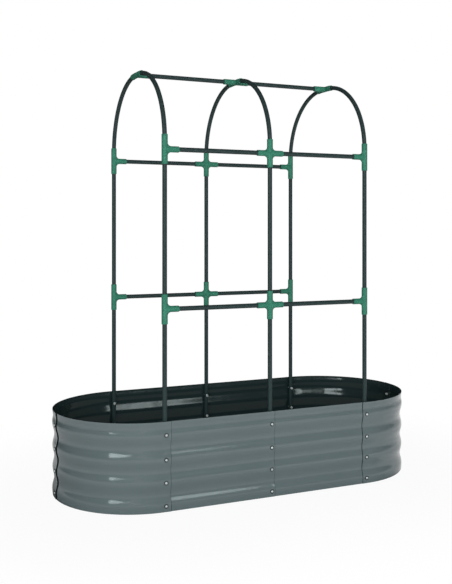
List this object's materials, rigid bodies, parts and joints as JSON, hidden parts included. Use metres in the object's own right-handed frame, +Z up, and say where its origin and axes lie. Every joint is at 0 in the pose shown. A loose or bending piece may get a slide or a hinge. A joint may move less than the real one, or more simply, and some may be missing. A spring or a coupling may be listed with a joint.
{
  "type": "raised garden bed with tunnel trellis",
  "caption": "Oval corrugated sheet-metal garden bed, open above and below, with a tube-frame tunnel trellis joined by moulded socket connectors.",
  "frame": {"origin": "on the ground at the middle of the oval bed", "axes": "+Z up, +X along the bed to the right as the picture shows it, -Y towards the viewer, which is the front"},
  "size_m": [1.4032, 0.6102, 1.5095],
  "materials": {
    "panel": "blue-grey satin paint on thin corrugated steel sheet",
    "tube": "dark green-black satin coating on steel tube",
    "connector": "mid green moulded plastic, faint satin sheen"
  },
  "bodies": {
    "root": {"front_left_corner_panel": "panel", "front_left_straight_panel": "panel", "front_right_corner_panel": "panel", "front_right_straight_panel": "panel", "front_left_lower_pole": "tube", "front_left_upper_pole": "tube", "front_left_arch": "tube", "front_left_lower_connector": "connector", "front_left_upper_connector": "connector", "front_middle_lower_pole": "tube", "front_middle_upper_pole": "tube", "front_middle_arch": "tube", "front_middle_lower_connector": "connector", "front_middle_upper_connector": "connector", "front_right_lower_pole": "tube", "front_right_upper_pole": "tube", "front_right_arch": "tube", "front_right_lower_connector": "connector", "front_right_upper_connector": "connector", "front_left_lower_rod": "tube", "front_left_upper_rod": "tube", "front_right_lower_rod": "tube", "front_right_upper_rod": "tube", "back_left_corner_panel": "panel", "back_left_straight_panel": "panel", "back_right_corner_panel": "panel", "back_right_straight_panel": "panel", "back_left_lower_pole": "tube", "back_left_upper_pole": "tube", "back_left_arch": "tube", "back_left_lower_connector": "connector", "back_left_upper_connector": "connector", "back_middle_lower_pole": "tube", "back_middle_upper_pole": "tube", "back_middle_arch": "tube", "back_middle_lower_connector": "connector", "back_middle_upper_connector": "connector", "back_right_lower_pole": "tube", "back_right_upper_pole": "tube", "back_right_arch": "tube", "back_right_lower_connector": "connector", "back_right_upper_connector": "connector", "back_left_lower_rod": "tube", "back_left_upper_rod": "tube", "back_right_lower_rod": "tube", "back_right_upper_rod": "tube", "left_top_connector": "connector", "middle_top_connector": "connector", "right_top_connector": "connector", "left_ridge_rod": "tube", "right_ridge_rod": "tube"}
  },
  "joints": []
}
